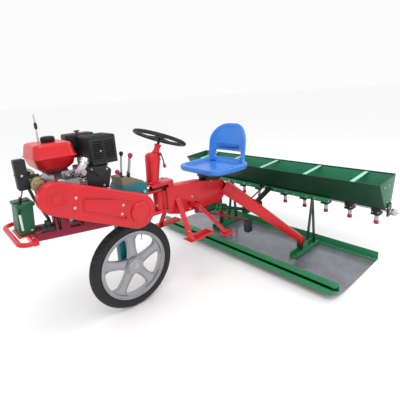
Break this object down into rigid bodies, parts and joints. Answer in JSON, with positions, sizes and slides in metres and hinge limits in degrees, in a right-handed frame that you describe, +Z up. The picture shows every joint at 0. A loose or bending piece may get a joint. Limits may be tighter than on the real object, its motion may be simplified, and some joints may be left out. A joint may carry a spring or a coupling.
{
  "type": "paddy seeder",
  "caption": "Ride-on paddy seeder: single driven wheel in a steered power head, gooseneck with seat, and a float sled carrying a full-width seed hopper with drop tubes",
  "frame": {"origin": "middle of the bounding box in plan, on the ground under the wheel and sled", "axes": "+X ahead, +Y to the driver's left, +Z up"},
  "size_m": [2.254, 2.192, 1.2921],
  "materials": {
    "red_paint": "gloss",
    "dark_red_paint": "satin",
    "green_paint": "gloss",
    "pale_green_paint": "satin",
    "teal_paint": "satin",
    "khaki_paint": "satin",
    "black_paint": "matte",
    "board_steel": "satin",
    "bright_steel": "satin",
    "dark_steel": "matte",
    "cast_alloy": "satin",
    "zinc": "satin",
    "tyre_rubber": "matte",
    "blue_plastic": "gloss",
    "black_plastic": "matte",
    "clear_plastic": "gloss",
    "red_plastic": "gloss"
  },
  "bodies": {
    "sled": {"sled_board": "board_steel", "sled_front_rail": "green_paint", "sled_rear_rail": "green_paint", "sled_channels": "green_paint", "hopper_walls": "green_paint", "hopper_floor": "green_paint", "hopper_ends": "green_paint", "hopper_straps": "pale_green_paint", "hopper_beam": "green_paint", "hopper_legs": "green_paint", "seed_meters": "black_plastic", "seed_tubes": "clear_plastic", "tube_tips": "red_plastic", "shaft_bearings": "green_paint", "seed_reducer": "dark_steel", "seed_chain": "dark_steel"},
    "seed_shaft": {"seed_shaft": "bright_steel", "shaft_couplings": "bright_steel"},
    "tow_frame": {"gooseneck": "red_paint", "tow_arms": "red_paint", "column_base": "red_paint", "steering_column": "red_paint", "seat": "blue_plastic", "seat_bracket": "black_paint", "footrests": "red_paint", "lift_pedal": "red_paint", "lift_link": "dark_red_paint", "drive_shaft": "green_paint"},
    "steering_wheel": {"steering_wheel": "black_plastic"},
    "power_head": {"gearbox": "teal_paint", "gearbox_lid": "khaki_paint", "final_drive": "teal_paint", "lever_knobs": "red_plastic", "kingpin": "dark_steel", "belt_cover": "red_paint", "head_rails": "dark_red_paint", "front_bumper": "red_paint", "battery_box": "green_paint", "engine_block": "cast_alloy", "fuel_tank": "red_paint", "fuel_cap": "black_plastic", "muffler": "black_paint", "head_shroud": "black_paint", "air_cleaner": "black_plastic", "recoil_cover": "black_paint", "starter_motor": "zinc", "switch_box": "black_plastic", "hand_levers": "bright_steel"},
    "drive_wheel": {"tyre": "tyre_rubber", "wheel_rim": "cast_alloy", "axle": "bright_steel"}
  },
  "joints": [
    {"name": "sled_float", "type": "hinge", "parent": "sled", "child": "tow_frame", "pos_m": [-0.81, 0, 0.088], "axis": [0, -1, 0], "range_deg": [-6, 6]},
    {"name": "steering_wheel_turn", "type": "hinge", "parent": "tow_frame", "child": "steering_wheel", "pos_m": [0.1851, 0, 1.083], "axis": [-0.4067, 0, 0.9135], "range_deg": [-480, 480]},
    {"name": "head_steer", "type": "hinge", "parent": "tow_frame", "child": "power_head", "pos_m": [0.245, 0, 0.668], "axis": [0, 0, 1], "range_deg": [-40, 40]},
    {"name": "drive_wheel_spin", "type": "hinge", "parent": "power_head", "child": "drive_wheel", "pos_m": [0.49, 0, 0.292], "axis": [0, 1, 0], "continuous": true},
    {"name": "seed_shaft_spin", "type": "hinge", "parent": "sled", "child": "seed_shaft", "pos_m": [-1.022, 0, 0.442], "axis": [0, 1, 0], "continuous": true}
  ],
  "couplings": [
    {"joint": "head_steer", "follows": "steering_wheel_turn", "ratio": 0.083333}
  ]
}
